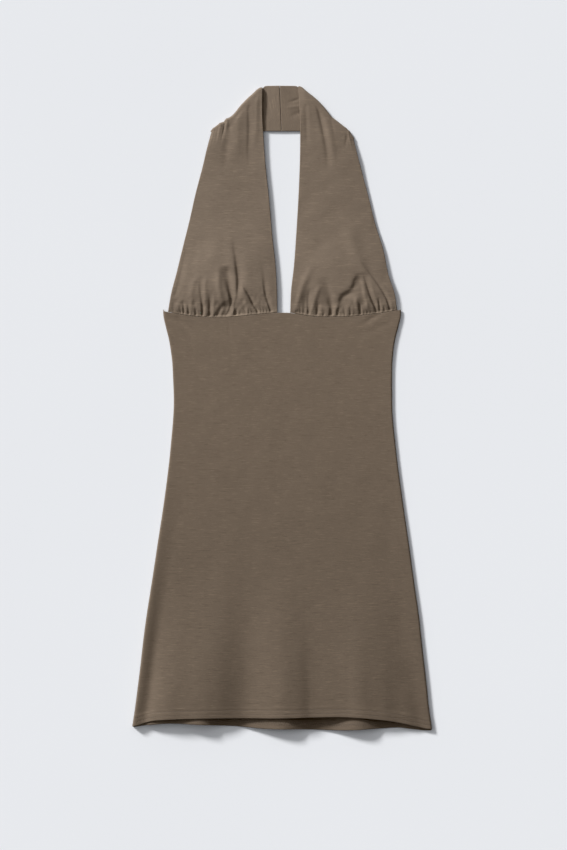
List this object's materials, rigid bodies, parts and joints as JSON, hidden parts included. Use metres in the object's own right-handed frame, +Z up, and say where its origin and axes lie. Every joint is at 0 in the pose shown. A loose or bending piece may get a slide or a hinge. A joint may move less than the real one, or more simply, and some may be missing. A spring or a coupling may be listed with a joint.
{
  "type": "halter dress laid flat",
  "caption": "Sleeveless short dress in soft jersey with a gathered halter neck, laid flat with its front up.",
  "frame": {"origin": "middle of the laid dress's outline, on the surface it lies on", "axes": "+X to the right across the dress as seen from above, +Y from the hem to the neck, +Z up from the surface through the front"},
  "size_m": [0.4348, 0.9352, 0.0183],
  "materials": {
    "body_front": "matt melange jersey",
    "body_back": "matt melange jersey",
    "halter_left": "matt melange jersey",
    "halter_right": "matt melange jersey"
  },
  "bodies": {
    "root": {"body_front": "body_front", "body_back": "body_back", "halter_left": "halter_left", "halter_right": "halter_right"}
  },
  "joints": []
}
